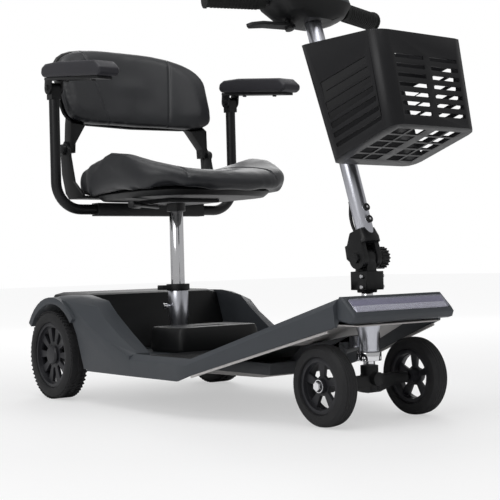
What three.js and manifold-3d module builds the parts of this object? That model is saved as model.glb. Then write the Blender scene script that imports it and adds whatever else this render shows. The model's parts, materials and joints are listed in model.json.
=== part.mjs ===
// A small four-wheeled mobility scooter: chassis, steered front axle, folding tiller with a
// basket, swivelling padded seat with flip-up arms, lift-out battery.
// Millimetres, +Z up. The scooter faces -Y and the rider's right hand is at -X.
import * as THREE from "three";
import { mergeVertices } from "three/addons/utils/BufferGeometryUtils.js";
import Module from "manifold-3d";

const wasm = await Module();
wasm.setup();

// ---- driving dimensions; y is measured from the rear axle until the last step ----
const GAP = 0.3; // clearance between pieces that touch
const REAR_WHEEL = { radius: 101.5, width: 50, rim: 75, x: 225 };
const FRONT_WHEEL = { radius: 75.5, width: 38, rim: 52, x: 116, y: -812 };
const STEER_Y = -808;
const DECK = { half: 236, nose: 130, floor: 110, knee: -540, front: -897, ramp: 0.357, wall: 5 };
const PIVOT = [0, -806, 306]; // tiller tilt axis
const LEAN = 17.8; // degrees that the tiller leans back
const TUBE = { radius: 16.5, y: -16, low: 34, high: 500 };
const BASKET = { half: 111, bottom: 158, rearTop: 398, frontTop: 328, wall: 3 };
const HEAD_LOW = 487;
const HEAD_SEAM = 526;
const POST_Y = -169;
const SEAT_TOP_OF_POST = 434;
const SEAT = { x: 210, y: 204, centre: -216, low: 470 };
const BACK_HINGE = [0, -12, 578];
const ARM = { x: 250, y: -55, low: 436, top: 716, tube: 12, bend: 62, tilt: 7 };
const BATTERY = { half: 110, front: -338, back: -205, low: 108.8, high: 165 };

const CHARCOAL = "#42464a";
const BLACK = "#17181a";
const SOFT = "#323337";
const SILVER = "#c6c8d0";
const CHROME = "#d9dadd";

// ---- general helpers ----
const rad = (degrees) => (degrees * Math.PI) / 180;

// Welds the vertices, drops slivers and turns the faces outwards.
function welded(source) {
  let geo = source.clone();
  geo.deleteAttribute("normal");
  geo.deleteAttribute("uv");
  geo = mergeVertices(geo, 1e-3);
  const p = geo.attributes.position;
  const faces = [];
  let volume = 0;
  const corner = (i) => new THREE.Vector3().fromBufferAttribute(p, i);
  for (let i = 0; i < geo.index.count; i += 3) {
    const [a, b, c] = [0, 1, 2].map((k) => geo.index.getX(i + k));
    if (a === b || b === c || c === a) continue;
    faces.push([a, b, c]);
    volume += corner(a).dot(corner(b).cross(corner(c)));
  }
  geo.setIndex((volume < 0 ? faces.map(([a, b, c]) => [a, c, b]) : faces).flat());
  return geo;
}

function toSolid(source) {
  const geo = welded(source);
  const mesh = new wasm.Mesh({
    numProp: 3,
    vertProperties: new Float32Array(geo.attributes.position.array),
    triVerts: new Uint32Array(geo.index.array),
  });
  return new wasm.Manifold(mesh);
}

function toGeometry(solid) {
  const { vertProperties, triVerts } = solid.getMesh();
  const geo = new THREE.BufferGeometry();
  geo.setAttribute("position", new THREE.BufferAttribute(new Float32Array(vertProperties), 3));
  geo.setIndex(new THREE.BufferAttribute(new Uint32Array(triVerts), 1));
  return geo;
}

const join = (...parts) => toGeometry(parts.map(toSolid).reduce((a, b) => a.add(b)));
const cut = (part, ...tools) => toGeometry(tools.map(toSolid).reduce((a, b) => a.subtract(b), toSolid(part)));

const box = (x0, x1, y0, y1, z0, z1) =>
  new THREE.BoxGeometry(x1 - x0, y1 - y0, z1 - z0).translate((x0 + x1) / 2, (y0 + y1) / 2, (z0 + z1) / 2);

// A round bar between two points, with its own radius at each end.
function rod(from, to, radius, sides = 20, endRadius = radius) {
  const a = new THREE.Vector3(...from);
  const run = new THREE.Vector3(...to).sub(a);
  const turn = new THREE.Quaternion().setFromUnitVectors(new THREE.Vector3(0, 1, 0), run.clone().normalize());
  const middle = a.addScaledVector(run, 0.5);
  return new THREE.CylinderGeometry(endRadius, radius, run.length(), sides)
    .applyQuaternion(turn)
    .translate(...middle.toArray());
}

// A bar of round section swept through the given points.
function bent(points, radius, sides = 16, steps = 30, tension = 0.5) {
  const path = new THREE.CatmullRomCurve3(points.map((p) => new THREE.Vector3(...p)), false, "catmullrom", tension);
  return sweep(path, radius, sides, steps);
}

function sweep(path, radius, sides, steps) {
  const ring = Array.from({ length: sides }, (_, i) => {
    const a = (i / sides) * 2 * Math.PI;
    return new THREE.Vector2(radius * Math.cos(a), radius * Math.sin(a));
  });
  return new THREE.ExtrudeGeometry(new THREE.Shape(ring), { extrudePath: path, steps, bevelEnabled: false });
}

// An outline pushed along an axis: x takes (y, z) points, y takes (x, z), z takes (x, y).
function prism(points, axis, from, to, bevel = 0) {
  const shape = points instanceof THREE.Shape ? points : new THREE.Shape(points.map((p) => new THREE.Vector2(...p)));
  const geo = new THREE.ExtrudeGeometry(shape, {
    depth: to - from - 2 * bevel,
    bevelEnabled: bevel > 0,
    bevelSize: bevel,
    bevelOffset: -bevel,
    bevelThickness: bevel,
    bevelSegments: 1,
    curveSegments: 6,
  });
  const start = (axis === "y" ? -to : from) + bevel;
  geo.translate(0, 0, start);
  const [X, Y, Z] = [new THREE.Vector3(1, 0, 0), new THREE.Vector3(0, 1, 0), new THREE.Vector3(0, 0, 1)];
  const basis = { x: [Y, Z, X], y: [X, Z, Y.clone().negate()], z: [X, Y, Z] }[axis];
  return geo.applyMatrix4(new THREE.Matrix4().makeBasis(...basis));
}

// A profile of (radius, height) points turned about an axis.
function turned(profile, axis = "z", segments = 32) {
  const geo = new THREE.LatheGeometry(profile.map((p) => new THREE.Vector2(...p)), segments);
  if (axis === "z") geo.rotateX(Math.PI / 2);
  if (axis === "x") geo.rotateZ(-Math.PI / 2);
  return geo;
}

// A closed body through rings of points; the first and last ring are capped.
function loft(rings) {
  const n = rings[0].length;
  const faces = [];
  for (let k = 0; k + 1 < rings.length; k++) {
    for (let i = 0; i < n; i++) {
      const [a, b] = [k * n + i, k * n + ((i + 1) % n)];
      faces.push([a, b, b + n], [a, b + n, a + n]);
    }
  }
  [0, rings.length - 1].forEach((k) => {
    cap(rings[k]).forEach(([a, b, c]) => faces.push((k ? [a, b, c] : [a, c, b]).map((i) => i + k * n)));
  });
  const geo = new THREE.BufferGeometry();
  geo.setAttribute("position", new THREE.Float32BufferAttribute(rings.flat(2), 3));
  geo.setIndex(faces.flat());
  return geo;
}

// Triangles over one ring, wound the way that the ring runs.
function cap(ring) {
  const normal = [0, 0, 0];
  ring.forEach((p, i) => {
    const q = ring[(i + 1) % ring.length];
    for (let k = 0; k < 3; k++) normal[k] += p[(k + 1) % 3] * q[(k + 2) % 3] - p[(k + 2) % 3] * q[(k + 1) % 3];
  });
  const drop = normal.map(Math.abs).indexOf(Math.max(...normal.map(Math.abs)));
  const flat = ring.map((p) => new THREE.Vector2(p[(drop + 1) % 3], p[(drop + 2) % 3]));
  const area = (loop) => THREE.ShapeUtils.area(loop);
  return THREE.ShapeUtils.triangulateShape(flat, []).map((t) =>
    Math.sign(area(t.map((i) => flat[i]))) === Math.sign(area(flat)) ? t : [t[0], t[2], t[1]]);
}

// A rounded rectangle as points, from half sizes and the squareness of its corners.
function roundedOutline(halfA, halfB, power = 4, count = 28) {
  return Array.from({ length: count }, (_, i) => {
    const t = (i / count) * 2 * Math.PI;
    const push = (v) => Math.sign(v) * Math.abs(v) ** (2 / power);
    return [halfA * push(Math.cos(t)), halfB * push(Math.sin(t))];
  });
}

// A padded body over an outline: each ring has a scale and a share of the thickness.
const PILLOW = [[0.3, 1], [0.62, 1], [0.86, 1], [0.96, 0.94], [1, 0.7], [1, 0.35], [0.95, 0.05], [0.62, 0], [0.3, 0]];
function pillow(outline, low, high, place, rings = PILLOW) {
  return loft(rings.map(([scale, share]) => outline.map(([a, b]) => {
    const [u, v] = [a * scale, b * scale];
    return place(u, v, low(u, v) + (high(u, v) - low(u, v)) * share);
  })));
}

function add(parent, name, geometry, color, roughness = 0.6, metalness = 0) {
  const geo = welded(geometry);
  geo.computeVertexNormals();
  const mesh = new THREE.Mesh(geo, new THREE.MeshStandardMaterial({ color, roughness, metalness }));
  mesh.name = name;
  parent.add(mesh);
  return mesh;
}

function subgroup(parent, x = 0, y = 0, z = 0) {
  const child = new THREE.Group();
  child.position.set(x, y, z);
  parent.add(child);
  return child;
}

const group = new THREE.Group();
const scooter = subgroup(group);
const SIDES = [["right", -1], ["left", 1]];

// ---- deck and side skirts: one moulded shell, open underneath ----
const halfWidth = (y) => DECK.nose + (DECK.half - DECK.nose) * Math.min(1, (y - DECK.front) / (DECK.knee - DECK.front));
const floorAt = (y) => DECK.floor + Math.max(0, (DECK.knee - y) * DECK.ramp);
const skirtLow = (y) => (y > -500 ? 72 : 72 + (-500 - y) * 0.305);

function deckRing(y) {
  const [w, f, low] = [halfWidth(y), floorAt(y), skirtLow(y)];
  const half = [[y > -340 ? w : w - 4, low], [w, f - 4], [w - 12, f + 8], [w - 22, f]];
  const under = [[w - 27, f - DECK.wall], [w - 9, low]];
  const mirror = (list) => [...list].reverse().map(([x, z]) => [-x, z]);
  return [...half, ...mirror(half), ...mirror(under).reverse().reverse(), ...under].map(([x, z]) => [x, y, z]);
}

// The side fairings fall from the fenders to the deck; the inner face reaches further forward.
function fairing(side) {
  const outer = [[60, 214], [0, 232], [-60, 226], [-110, 204], [-160, 176], [-240, 142], [-330, 114], [-330, 76], [60, 76]];
  const inner = [[60, 232], [0, 238], [-90, 238], [-165, 226], [-200, 198], [-262, 158], [-330, 118], [-330, 76], [60, 76]];
  const rows = [[DECK.half, outer], [214, inner.map(([y, z], i) => [y, (z + 3 * outer[i][1]) / 4 + 4])], [184, inner]];
  return loft(rows.map(([x, row]) => row.map(([y, z]) => [side * x, y, z])));
}

// The fender is an arc over each rear wheel.
function fender(side) {
  const arc = (radius, from, to) => Array.from({ length: 13 }, (_, i) => {
    const a = rad(from + ((to - from) * i) / 12);
    return [radius * Math.cos(a), REAR_WHEEL.radius + radius * Math.sin(a)];
  });
  const band = [...arc(133, 32, 140), ...arc(118, 140, 32)];
  const [a, b] = [side * 190, side * 243];
  return prism(band, "x", Math.min(a, b), Math.max(a, b));
}

const wheelArch = (side) => prism([[118, 60], [118, 101.5], ...Array.from({ length: 11 }, (_, i) => {
  const a = rad(i * 15.5);
  return [118 * Math.cos(a), 101.5 + 118 * Math.sin(a)];
}), [-140, 70], [-140, 40], [118, 40]].filter((_, i) => i !== 1), "x", Math.min(side * 189, side * 260), Math.max(side * 189, side * 260));

const DECK_STATIONS = [-150, -335, -500, DECK.knee, -640, -760, -866];
const nose = [[-860, 196], [-860, 228], [-868, 238], [-876, 238], [-904, 211], [-910, 203], [-906, 193], [-896, 190]];
const lampPocket = [[-872, 246], [-880, 229], [-901.5, 208.5], [-912, 216]];
const shell = join(
  loft(DECK_STATIONS.map(deckRing)),
  prism(nose, "x", -128, 128, 3),
  ...SIDES.flatMap(([, s]) => [fairing(s), fender(s)]),
);
const shaftHoles = rod([-260, 0, 101.5], [260, 0, 101.5], 24, 24);
const stemHole = rod([0, STEER_Y, 150], [0, STEER_Y, 260], 26);
const deckShell = cut(shell, ...SIDES.map(([, s]) => wheelArch(s)), stemHole, prism(lampPocket, "x", -119, 119),
  shaftHoles, rod([0, POST_Y, 90], [0, POST_Y, 130], 30.4, 28));
add(scooter, "body_shell", deckShell, CHARCOAL, 0.5);

// ---- rear cover over the drive, with its sloping black front ----
const coverSide = [[-56, 236], [-66, 232], [-108, 116], [-108, 112], [98, 112], [112, 150], [112, 222], [90, 238]];
const rearCover = cut(
  loft([-183, -160, 160, 183].map((x) => coverSide.map(([y, z]) => [x, y, z + (z > 150 && Math.abs(x) < 170 ? 5 : 0)]))),
  box(-172, 172, -94, 100, 100, 150), shaftHoles, prism([[-56, 148], [-44, 226], [84, 226], [100, 148]], "x", -172, 172));
add(scooter, "rear_cover", rearCover, BLACK, 0.55);

// ---- chassis under the floor: rails, cross members, spine to the head tube, drive cradle ----
const rail = (x) => box(x - 11, x + 11, -620, 60, 80, 103.5);
const spine = prism([[-600, 88], [-600, 104], [-640, 134], [-783, 160], [-783, 137], [-690, 112]], "x", -25, 25);
const frame = join(rail(-80), rail(80), box(-91, 91, -622, -596, 80, 103.5), box(-91, 91, -190, -148, 80, 103.5),
  box(-91, 91, -360, -338, 80, 103.5), box(-91, 91, 38, 62, 80, 103.5), spine,
  box(-30, 30, POST_Y - 30, POST_Y + 30, 80, 104), prism([[-792, 106], [-776, 106], [-776, 150], [-792, 137]], "x", -46, -42));
const stopTab = box(-46, -22, -779, -775.5, 136, 148);
const axleRoom = [rod([-180, 0, 101.5], [180, 0, 101.5], 13.4), rod([-41, 0, 101.5], [41, 0, 101.5], 42.4, 24),
  rod([43, 12, 120], [151, 12, 120], 30.4, 24), box(-20.4, 60.4, -20.4, 40.4, 83.6, 130)];
add(scooter, "chassis_frame", cut(join(frame, stopTab), ...axleRoom), "#4b4d50", 0.5, 0.6);

const headTube = turned([[11.6, 130], [19.5, 130], [19.5, 164], [24, 180], [24, 188], [11.6, 188], [11.6, 130]], "z", 28);
const yoke = box(-18, 18, STEER_Y + 12, STEER_Y + 24.7, 138, 159);
add(scooter, "head_tube", cut(join(headTube.translate(0, STEER_Y, 0), yoke),
  rod([0, STEER_Y, 120], [0, STEER_Y, 200], 11.6, 28)), SILVER, 0.35, 0.9);

// Pale moulded trays that close the underside of the deck and of the nose.
const tray = ([y, z]) => {
  const w = halfWidth(y) - 24.5;
  return [[w, z], [-w, z], [-w + 3, z - 3], [w - 3, z - 3]].map(([a, b]) => [a, y, b]);
};
const TRAY = [[-655, 140], [-760, 177], [-808, 185.5], [-855, 188], [-892, 186.5]];
add(scooter, "nose_tray", cut(loft(TRAY.map(tray)), rod([0, STEER_Y, 100], [0, STEER_Y, 260], 27)),
  "#c9c6c4", 0.6);
const belly = (y, low) => [[66, low], [-66, low], [-66, 79.6], [66, 79.6]].map(([a, b]) => [a, y, Math.min(b, 79.6)]);
add(scooter, "belly_tray", loft([[-330, 66], [-560, 70], [-600, 76]].map(([y, z]) => belly(y, z))), "#b9b8b8", 0.5, 0.3);
const matRing = (y) => {
  const [w, z] = [halfWidth(y) - 24, floorAt(y)];
  return [[-w, z + GAP], [w, z + GAP], [w, z + 3], [-w, z + 3]].map(([a, b]) => [a, y, b]);
};
const mat = loft([BATTERY.front - 1, DECK.knee, -700, -852].map(matRing));
add(scooter, "floor_mat", cut(mat, rod([0, STEER_Y, 150], [0, STEER_Y, 260], 26)), "#222325", 0.9);

// ---- front lamp strip in the slope of the nose ----
const slope = (from, to, inset) => [[-880.4 - from, 229 + from], [-901.4 - from, 208.8 + from],
  [-901.4 - to, 208.8 + to], [-880.4 - to, 229 + to]].map(([y, z], i) => [y + (i % 3 ? inset : -inset), z]);
add(scooter, "lamp_reflector", prism(slope(0.4, 2.2, 0.5), "x", -117, 117), "#dfe1ea", 0.2, 0.7);
add(scooter, "lamp_lens", prism(slope(2.6, 5.2, 0), "x", -118, 118, 0.6), "#c9cbe0", 0.1);

// ---- transaxle, motor and controller below the rear cover ----
const drive = join(rod([-168, 0, 101.5], [168, 0, 101.5], 13), rod([-40, 0, 101.5], [40, 0, 101.5], 42, 24),
  rod([44, 12, 120], [150, 12, 120], 30, 24), box(-20, 60, -20, 40, 84, 130), box(-92, -68, -14, 14, 103.9, 112),
  box(68, 92, -14, 14, 103.9, 112));
add(scooter, "transaxle", drive, "#6c6e72", 0.45, 0.7);
add(scooter, "controller", box(-150, -50, 50, 92, 116, 180), "#2a2b2e", 0.7);
SIDES.forEach(([name, s]) => {
  add(scooter, `tail_lamp_${name}`, box(s > 0 ? 125 : -165, s > 0 ? 165 : -125, 112.3, 117, 176, 206), "#a01418", 0.25);
});

// ---- seat-post socket, clamp ring and spring pin ----
const postHole = rod([0, POST_Y, 112], [0, POST_Y, 280], 16.4, 28);
const socket = turned([[0, 104.3], [30, 104.3], [30, 110], [20.5, 114], [20.5, 176], [23.5, 184], [23.5, 243], [0, 243]], "z", 28);
add(scooter, "post_socket", cut(socket.translate(0, POST_Y, 0), postHole,
  rod([-40, POST_Y, 208], [-10, POST_Y, 208], 3.4, 12)), SILVER, 0.35, 0.9);
const clampRing = join(rod([0, POST_Y, 243.3], [0, POST_Y, 258], 27, 28), box(-50, -18, POST_Y - 11, POST_Y + 11, 245, 256));
add(scooter, "post_clamp", cut(clampRing, rod([0, POST_Y, 230], [0, POST_Y, 280], 16.4, 28)), BLACK, 0.5);
const pin = join(rod([-33, POST_Y, 208], [-17.5, POST_Y, 208], 3, 12), rod([-42, POST_Y, 208], [-31, POST_Y, 208], 6, 12));
add(scooter, "lock_pin", pin, CHROME, 0.3, 1);

// ---- battery: a case that lifts out between the socket and the floor ----
const batteryPlan = roundedOutline(BATTERY.half, (BATTERY.back - BATTERY.front) / 2, 9, 24);
const batteryRing = (scale, z) => batteryPlan.map(([x, y]) =>
  [x * scale, y * scale + (BATTERY.front + BATTERY.back) / 2, z]);
const batteryCase = loft([[0.97, BATTERY.low + 1.6], [1, BATTERY.low + 8], [1, BATTERY.high - 12], [0.96, BATTERY.high]]
  .map(([s, z]) => batteryRing(s, z)));
const handle = join(box(-40, 40, -289, -279, BATTERY.high - 5, BATTERY.high - 1),
  ...[-40, 32].map((x) => box(x, x + 8, -289, -279, BATTERY.high - 10, BATTERY.high - 2)));
const batteryBody = cut(batteryCase, box(-45, 45, -300, -268, BATTERY.high - 9, BATTERY.high + 5));
add(scooter, "battery_case", join(batteryBody, handle), BLACK, 0.55);
add(scooter, "steer_loom", bent([[36, -786, 174], [46, -785, 158], [46, -782, 138], [40, -777, 124],
  [36, -772, 130], [38, -757, 150], [40, -744, 160]], 4.5, 8, 18), BLACK, 0.7);

// ---- freewheel lever at the rear ----
add(scooter, "freewheel_lever", join(rod([175, 118.5, 140], [175, 124, 140], 9), box(171, 179, 119, 124, 138, 172),
  rod([175, 112.4, 140], [175, 119, 140], 5, 12)), "#a3302a", 0.5);

// ---- wheels ----
// A rim is a barrel, a slotted disc and a hub; the tyre closes around it.
function slottedDisc(outer, slots, inner, reach, spread) {
  const arc = (radius, from, to, steps) => Array.from({ length: steps + 1 }, (_, i) => {
    const a = from + ((to - from) * i) / steps;
    return new THREE.Vector2(radius * Math.cos(a), radius * Math.sin(a));
  });
  const shape = new THREE.Shape(arc(outer, 0, 1.9166 * Math.PI, 23));
  for (let i = 0; i < slots; i++) {
    const a = (i / slots) * 2 * Math.PI;
    shape.holes.push(new THREE.Path([...arc(reach, a - spread, a + spread, 2), ...arc(inner, a + spread * 0.8, a - spread * 0.8, 1)]));
  }
  return new THREE.ExtrudeGeometry(shape, { depth: 7, bevelEnabled: false });
}

function wheel(parent, name, spec, side, discs) {
  const place = subgroup(parent, side * spec.x, spec.centreY, spec.radius);
  const [r, h, bead] = [spec.radius, spec.width / 2, spec.rim];
  const section = [[bead, -h + 5], [bead + 4, -h + 1], [r - 10, -h], [r - 3, -h + 4], [r, -h + 10],
    [r, h - 10], [r - 3, h - 4], [r - 10, h], [bead + 4, h - 1], [bead, h - 5], [bead, -h + 5]];
  add(place, `tyre_${name}`, turned(section, "x", 32), "#2b2b2c", 0.85);
  const disc = slottedDisc(bead - 6, ...discs).rotateY(Math.PI / 2).translate(side > 0 ? h - 20 : 13 - h, 0, 0);
  const barrel = turned([[bead - 8, -h + 5], [bead - GAP, -h + 5], [bead - GAP, h - 5], [bead - 8, h - 5], [bead - 8, -h + 5]], "x", 32);
  const hub = rod([-side * spec.hubIn, 0, 0], [side * spec.hubOut, 0, 0], spec.hub, 20);
  const rim = join(disc, barrel, hub, rod([side * spec.hubOut, 0, 0], [side * (spec.hubOut + 4), 0, 0], spec.cap, 20, spec.cap - 4));
  add(place, `rim_${name}`, spec.bore ? cut(rim, rod([-side * 60, 0, 0], [side * spec.bore, 0, 0], 6.3, 16)) : rim, "#2e2f32", 0.45, 0.3);
  return place;
}
const rearSpec = { ...REAR_WHEEL, centreY: 0, hub: 20, hubIn: 56, hubOut: 17, cap: 23 };
const frontSpec = { ...FRONT_WHEEL, centreY: FRONT_WHEEL.y - STEER_Y, hub: 14, hubIn: 17, hubOut: 15, cap: 11 };
SIDES.forEach(([name, s]) => wheel(scooter, `rear_${name}`, rearSpec, s, [10, 30, 63, 0.17]));

// ---- steered front end: stem, axle beam and wheels turn together ----
const steering = subgroup(scooter, 0, STEER_Y, 0);
const stem = join(rod([0, 0, 88], [0, 0, 246], 11, 24), rod([0, 0, 113], [0, 0, 129.4], 24.5, 12), rod([0, 0, 188.4], [0, 0, 196], 20, 24));
add(steering, "steer_stem", stem, CHROME, 0.3, 1);
const axleZ = FRONT_WHEEL.radius;
const beam = cut(join(box(-88, 88, -14, 8, axleZ - 10, axleZ + 10), rod([0, 0, axleZ - 18], [0, 0, 104], 17, 20),
  rod([0, -26, axleZ + 4], [0, 14, axleZ + 4], 13, 16), prism([[-60, axleZ - 9], [60, axleZ - 9], [16, axleZ - 22], [-16, axleZ - 22]], "y", -12, 6),
  rod([-130, -4, axleZ], [130, -4, axleZ], 6, 16)), rod([0, 0, 87.7], [0, 0, 110], 11.3, 24));
add(steering, "front_axle", beam, BLACK, 0.5, 0.4);
SIDES.forEach(([name, s]) => {
  const place = wheel(steering, `front_${name}`, { ...frontSpec, bore: 15.2 }, s, [5, 19, 43, 0.42]);
  place.name = "";
});

// Lower half of the fold joint: a clamp on the stem with a rounded tongue.
const [pivotY, pivotZ] = [PIVOT[1] - STEER_Y, PIVOT[2]];
const foldBase = cut(join(box(-22, 22, -23, 22, 246, 281), rod([0, 0, 241], [0, 0, 247], 19, 20), box(-11, 11, -16, 20, 279, 306),
  rod([-11, pivotY, pivotZ], [11, pivotY, pivotZ], 19, 24), ...[252, 272].flatMap((z) => [-1, 1].map((s) => rod([s * 21, -14, z], [s * 27, -14, z], 4.5, 6)))),
  rod([-20, pivotY, pivotZ], [20, pivotY, pivotZ], 6.3, 20), rod([0, 0, 230], [0, 0, 246.3], 11.3, 24));
add(steering, "fold_base", foldBase, BLACK, 0.5, 0.3);

// ---- tiller: leans back about the tilt axis; its own z runs up the tube ----
const tiller = subgroup(steering, 0, pivotY, pivotZ);
tiller.rotation.x = rad(-LEAN);
const cheek = (s) => join(rod([s * 11.6, 0, 0], [s * 23, 0, 0], 21, 24), box(Math.min(s * 11.6, s * 23), Math.max(s * 11.6, s * 23), -21, 21, 0, 30));
const collar = loft([[24, 23, 32], [34, 23, 30], [52, 20, 21]].map(([z, a, b]) =>
  roundedOutline(a, b, 4, 20).map(([x, y]) => [x, y - 8 + (52 - z) * 0.2, z])));
const hump = loft([[-6, 8, 6], [10, 18, 14], [34, 16, 12]].map(([z, a, b]) => roundedOutline(a, b, 3, 16).map(([x, y]) => [x, y + 25, z])));
const foldHead = cut(join(cheek(-1), cheek(1), collar, hump), box(-11.6, 11.6, -40, 50, -30, 24), rod([13, 0, 0], [40, 0, 0], 6.3, 20),
  rod([0, TUBE.y, TUBE.low], [0, TUBE.y, 60], TUBE.radius + GAP, 24));
const foldPin = join(rod([-12, 0, 0], [12, 0, 0], 6, 20), rod([-29, 0, 0], [-22, 0, 0], 10, 6));
add(tiller, "fold_head", join(foldHead, foldPin), BLACK, 0.5, 0.2);
const tubeRod = rod([0, TUBE.y, TUBE.low + GAP], [0, TUBE.y, TUBE.high], TUBE.radius, 24);
const screw = (z) => rod([0, TUBE.y - TUBE.radius + 2, z], [0, TUBE.y - 4 - TUBE.radius, z], 6.5, 16);
add(tiller, "tiller_tube", join(tubeRod, screw(66), screw(90)), SILVER, 0.35, 0.9);
add(tiller, "tilt_knob", join(rod([13.3, 0, 0], [26, 0, 0], 6, 20), rod([23.4, 0, 0], [47, 0, 0], 20, 20, 18)), BLACK, 0.7);
add(tiller, "harness", bent([[0, 4.4, 116], [0, 5.4, 108], [0, 12, 90], [0, 13, 70], [0, 9, 53.6]], 3.2, 8, 10), BLACK, 0.7);

// Basket on its bracket, standing parallel to the tube.
const tubeY = TUBE.y;
const bracket = cut(join(rod([0, tubeY, 320], [0, tubeY, 352], TUBE.radius + 6, 24), box(-16, 16, -66, tubeY - 12, 322, 350),
  box(-45, 45, -69, -64, 300, 360)), rod([0, tubeY, 300], [0, tubeY, 380], TUBE.radius + GAP, 24));
add(tiller, "basket_bracket", bracket, BLACK, 0.6);
function basketRing(inset, share, z) {
  const rear = -76 + 8 * share - inset;
  const front = -254 - 22 * share + inset;
  const half = BASKET.half - 4 + 4 * share - inset;
  const corner = 26 - inset / 2;
  const ring = [];
  [[1, 1], [-1, 1], [-1, -1], [1, -1]].forEach(([sx, sy]) => {
    for (let i = 0; i <= 3; i++) {
      const a = Math.atan2(sy, sx) - Math.PI / 4 + (i / 3) * (Math.PI / 2);
      const y = (sy > 0 ? rear - corner : front + corner) + corner * Math.sin(a);
      ring.push([sx * (half - corner) + corner * Math.cos(a), y, z(y)]);
    }
  });
  return ring;
}
const rimAt = (y) => BASKET.rearTop + ((y + 68) / 208) * (BASKET.rearTop - BASKET.frontTop);
const basketOuter = loft([[0, 0, () => BASKET.bottom], [0, 1, rimAt]].map((r) => basketRing(...r)));
const basketInner = loft([[BASKET.wall, 0, () => BASKET.bottom + BASKET.wall], [BASKET.wall, 1.01, (y) => rimAt(y) + 3]].map((r) => basketRing(...r)));
const sideSlots = Array.from({ length: 7 }, (_, i) => {
  const [low, high] = [176 + i * 18, 184 + i * 18.6];
  return prism([[-228, low], [-106, low], [-106, high + i * 1.5], [-231, high]], "x", -130, 130);
});
const frontSlots = Array.from({ length: 7 }, (_, i) => [-1, 1].map((s) =>
  box(Math.min(s * 8, s * 78), Math.max(s * 8, s * 78), -290, -240, 176 + i * 17, 184 + i * 17))).flat();
const floorSlots = Array.from({ length: 5 }, (_, i) => [-80, -43, 12, 49].map((x) =>
  box(x, x + 37 - 6, -236 + i * 28, -214 + i * 28, 150, 170))).flat();
add(tiller, "basket", cut(basketOuter, basketInner, ...sideSlots, ...frontSlots, ...floorSlots), "#1e1e21", 0.55);

// Control head: lower cover, upper cover, bar, grips and controls.
const headRing = (z, a, b, shift, power = 3.2) => roundedOutline(a, b, power, 24).map(([x, y]) => [x, y + shift, z + y * 0.12]);
const barHole = rod([-60, -10, 531], [60, -10, 531], 11.3, 16);
const headLow = cut(loft([headRing(HEAD_LOW, 38, 34, -12), headRing(500, 74, 46, -10), headRing(HEAD_SEAM, 98, 56, -8)]),
  rod([0, tubeY, 470], [0, tubeY, TUBE.high + GAP], TUBE.radius + GAP, 24), ...[-1, 1].map((s) => barAt(s, 11.4, 30, 110)),
  rod([-52, -2, 470], [-52, -2, 499], 5.4, 16));
add(tiller, "head_lower", headLow, BLACK, 0.5);
const headHigh = cut(loft([headRing(HEAD_SEAM + GAP, 98, 56, -8), headRing(552, 94, 54, -8), headRing(566, 80, 44, -10), headRing(571, 60, 30, -10)]),
  ...[-1, 1].map((s) => barAt(s, 11.4, 30, 110)), rod([0, -2, 560], [0, -2, 600], 17.4, 24).translate(0, 0, 0), box(-58, -38, -14, 6, 562, 600));
add(tiller, "head_upper", headHigh, CHARCOAL, 0.5);
function barAt(side, radius, from, to) {
  const along = (d) => [side * d, -7 + (d - 85) * 0.274, 532 + (d - 85) * 0.067];
  return rod(along(from), along(to), radius, 20);
}
SIDES.forEach(([name, s]) => {
  add(tiller, `bar_${name}`, barAt(s, 11, 31, 212), "#3a3b3e", 0.4, 0.7);
  add(tiller, `grip_${name}`, cut(join(barAt(s, 18.5, 103, 216), barAt(s, 21, 216, 220)), barAt(s, 11.3, 90, 212.3)), "#1e201e", 0.85);
});
const paddle = [[-40, -8], [-60, -12], [-118, -6], [-140, 4], [-146, 14], [-138, 20], [-110, 12], [-60, 8], [-40, 6]];
add(tiller, "throttle_lever", join(prism(paddle, "z", 478, 485, 1), rod([-52, -2, 474], [-52, -2, 485], 9, 16),
  rod([-52, -2, 480], [-52, -2, 498], 5, 16)), BLACK, 0.6);
add(tiller, "speed_dial", join(rod([0, -2, 560.3], [0, -2, 576], 17, 24, 15), box(-2.5, 2.5, -16, 12, 575, 580)), "#2a2b2d", 0.6);
add(tiller, "horn_button", box(-57, -39, -13, 5, 564.6, 576.4), "#8a8c90", 0.5);

// ---- seat post, swivel head and arm sleeve ----
const postGroup = subgroup(scooter, 0, POST_Y, 0);
add(postGroup, "seat_post", cut(rod([0, 0, 113], [0, 0, SEAT_TOP_OF_POST], 16, 28), rod([-30, 0, 208], [-8, 0, 208], 3.4, 12)), CHROME, 0.15, 1);
const seat = subgroup(scooter, 0, POST_Y, 0);
const local = (y) => y - POST_Y;
const armY = local(ARM.y);
const sleeveBore = (s) => rod([s * 24, armY, ARM.low], [s * 170, armY, ARM.low], ARM.tube + GAP, 20);
const mount = cut(join(rod([0, 0, 427], [0, 0, 452], 22, 28), box(-70, 70, -75, 60, 444, 452), box(-60, 60, armY - 62, armY + 14, 444, 452),
  box(-150, 150, armY - 15, armY + 15, ARM.low - 15, ARM.low + 15)),
  rod([0, 0, 390], [0, 0, SEAT_TOP_OF_POST + 0.3], 16.3, 28), sleeveBore(-1), sleeveBore(1));
add(seat, "seat_mount", mount, BLACK, 0.5, 0.3);
add(seat, "swivel_lever", join(rod([-24, 40, 438.5], [-120, -30, 438.5], 4.5, 12), rod([-120, -30, 438.5], [-158, -58, 438.5], 8, 12)), BLACK, 0.6);

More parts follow.
